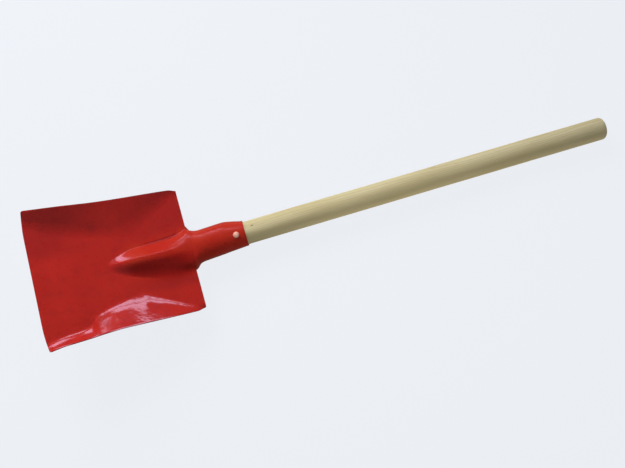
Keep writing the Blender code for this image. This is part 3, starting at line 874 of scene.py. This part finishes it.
def panes(data, feather, bars):
    """Soft edges and glazing bars for a light, from its own face coordinates; bars is (height share, width share, how dark)."""
    data.use_nodes = True
    tree = data.node_tree
    glow = tree.nodes["Emission"]
    face = tree.nodes.new("ShaderNodeNewGeometry").outputs["Parametric"]
    split = tree.nodes.new("ShaderNodeSeparateXYZ")
    tree.links.new(face, split.inputs[0])

    def step(source, low, high, a=0.0, b=1.0):
        n = tree.nodes.new("ShaderNodeMapRange")
        n.interpolation_type = "SMOOTHSTEP"
        tree.links.new(source, n.inputs[0])
        for i, value in enumerate((low, high, a, b)):
            n.inputs[i + 1].default_value = value
        return n.outputs[0]

    def times(a, b):
        n = tree.nodes.new("ShaderNodeMath")
        n.operation = "MULTIPLY"
        tree.links.new(a, n.inputs[0])
        if isinstance(b, float):
            n.inputs[1].default_value = b
        else:
            tree.links.new(b, n.inputs[1])
        return n.outputs[0]

    u, v = split.outputs[0], split.outputs[1]
    # the face coordinates of a rectangle's two halves run the same way across it
    strength = times(step(u, 0.0, feather), step(u, 1.0, 1.0 - feather))
    strength = times(strength, times(step(v, 0.0, feather), step(v, 1.0, 1.0 - feather)))
    for at, width, dark in bars:
        far = tree.nodes.new("ShaderNodeMath")
        far.operation = "SUBTRACT"
        tree.links.new(v, far.inputs[0])
        far.inputs[1].default_value = at
        size = tree.nodes.new("ShaderNodeMath")
        size.operation = "ABSOLUTE"
        tree.links.new(far.outputs[0], size.inputs[0])
        strength = times(strength, step(size.outputs[0], width * 0.5, width, 1.0 - dark, 1.0))
    tree.links.new(strength, glow.inputs["Strength"])


def soft_box(name, azimuth, elevation, distance, wide, high, radiance, colour, edge=None, gloss=True, matt=True, feather=0.0, bars=(), aim=None, spread=180.0, focus=None):
    """An area light that looks at the scoop from a direction: azimuth from +X towards +Y, elevation above the floor, sizes in degrees.
    edge is two directions that its upright sides run along."""
    way = toward(azimuth, elevation)
    upright = (toward(*edge[1]) - toward(*edge[0])) if edge else Vector((0, 0, 1))
    upright = (upright - way * upright.dot(way)).normalized()
    level_axis = upright.cross(way)
    data = bpy.data.lights.new(name, "AREA")
    data.shape = "RECTANGLE"
    data.size = 2 * distance * math.tan(math.radians(wide / 2))
    data.size_y = 2 * distance * math.tan(math.radians(high / 2))
    data.energy = radiance * math.pi * data.size * data.size_y
    data.color = colour
    lamp = bpy.data.objects.new(name, data)
    bpy.context.scene.collection.objects.link(lamp)
    at = (Vector(focus) if focus else TARGET) + way * distance
    if aim:
        way = (at - PLACE @ Vector(aim)).normalized()
        upright = (upright - way * upright.dot(way)).normalized()
        level_axis = upright.cross(way)
    data.spread = math.radians(spread)
    lamp.matrix_world = Matrix((
        (level_axis.x, upright.x, way.x, at.x),
        (level_axis.y, upright.y, way.y, at.y),
        (level_axis.z, upright.z, way.z, at.z),
        (0.0, 0.0, 0.0, 1.0),
    ))
    if feather:
        panes(data, feather, bars)
    lamp.visible_camera = False
    lamp.visible_glossy = gloss
    lamp.visible_diffuse = matt
    return lamp


soft_box("key", 96, 38, 1.2, 30, 30, 5.6, (1.0, 0.99, 0.96), gloss=False, aim=(-0.20, -0.01, 0.02), spread=125)
soft_box("fill", -84, 24, 0.55, 36, 10, 0.50, (1.0, 0.88, 0.68), gloss=False, focus=(0.06, 0.0, 0.03), spread=50)
soft_box("window", 65, 43.3, 2.2, 25, 12.4, 4.3, (1.0, 0.88, 1.22), feather=0.16, bars=((0.45, 0.06, 0.85),))
soft_box("sill", 93, 29, 2.2, 15, 18, 3.8, (1.0, 0.88, 1.22), feather=0.25)

world = bpy.data.worlds.new("studio")
bpy.context.scene.world = world
world.use_nodes = True
tree = world.node_tree
shown = tree.nodes["Background"]
shown.inputs[0].default_value = BACKDROP
path = tree.nodes.new("ShaderNodeLightPath")
soft = tree.nodes.new("ShaderNodeBackground")
soft.inputs[0].default_value = (0.95, 0.96, 1.0, 1.0)
sky = tree.nodes.new("ShaderNodeTexCoord")
aim = tree.nodes.new("ShaderNodeVectorMath")
aim.operation = "DOT_PRODUCT"
aim.inputs[1].default_value = tuple((PLACE.to_3x3() @ Vector((0.10, 0.45, 0.89))).normalized())
tree.links.new(sky.outputs["Generated"], aim.inputs[0])
lift = tree.nodes.new("ShaderNodeMapRange")
lift.interpolation_type = "SMOOTHSTEP"
for place, value in enumerate((-0.30, 0.80, 0.24, 0.29), 1):
    lift.inputs[place].default_value = value
tree.links.new(aim.outputs["Value"], lift.inputs[0])
tree.links.new(lift.outputs[0], soft.inputs[1])
mirror = tree.nodes.new("ShaderNodeBackground")
mirror.inputs[0].default_value = (0.10, 0.10, 0.12, 1.0)
pick = tree.nodes.new("ShaderNodeMixShader")
tree.links.new(path.outputs["Is Glossy Ray"], pick.inputs[0])
tree.links.new(soft.outputs[0], pick.inputs[1])
tree.links.new(mirror.outputs[0], pick.inputs[2])
last = tree.nodes.new("ShaderNodeMixShader")
tree.links.new(path.outputs["Is Camera Ray"], last.inputs[0])
tree.links.new(pick.outputs[0], last.inputs[1])
tree.links.new(shown.outputs[0], last.inputs[2])
tree.links.new(last.outputs[0], tree.nodes["World Output"].inputs[0])

# the camera: nearly overhead, turned a little, close enough for some perspective
CAM_A, CAM_E, CAM_D = math.radians(-16.97), math.radians(76.59), 0.800
back = Vector((math.sin(CAM_A) * math.cos(CAM_E), -math.cos(CAM_A) * math.cos(CAM_E), math.sin(CAM_E)))
right = Vector((math.cos(CAM_A), math.sin(CAM_A), 0.0))
upward = back.cross(right)
eye = Vector((0.14704, -0.02471, 0.0)) + back * CAM_D
pose = Matrix((
    (right.x, upward.x, back.x, eye.x),
    (right.y, upward.y, back.y, eye.y),
    (right.z, upward.z, back.z, eye.z),
    (0.0, 0.0, 0.0, 1.0),
))
camera_data = bpy.data.cameras.new("camera")
camera_data.sensor_width = 36.0
camera_data.sensor_fit = "HORIZONTAL"
camera_data.lens = 660.9 / 625.0 * 36.0
camera_data.clip_start = 0.01
camera_data.clip_end = 50.0
camera = bpy.data.objects.new("camera", camera_data)
bpy.context.scene.collection.objects.link(camera)
camera.matrix_world = PLACE @ pose
bpy.context.scene.camera = camera

bpy.context.scene.view_settings.view_transform = "Standard"
bpy.context.scene.view_settings.look = "None"

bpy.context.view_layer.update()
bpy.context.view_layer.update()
for o in (blade, handle, rivet, washer):
    co = np.array([v.co for v in o.data.vertices]) * 1000
    print(o.name, len(o.data.polygons), co.min(0).round(2), co.max(0).round(2))
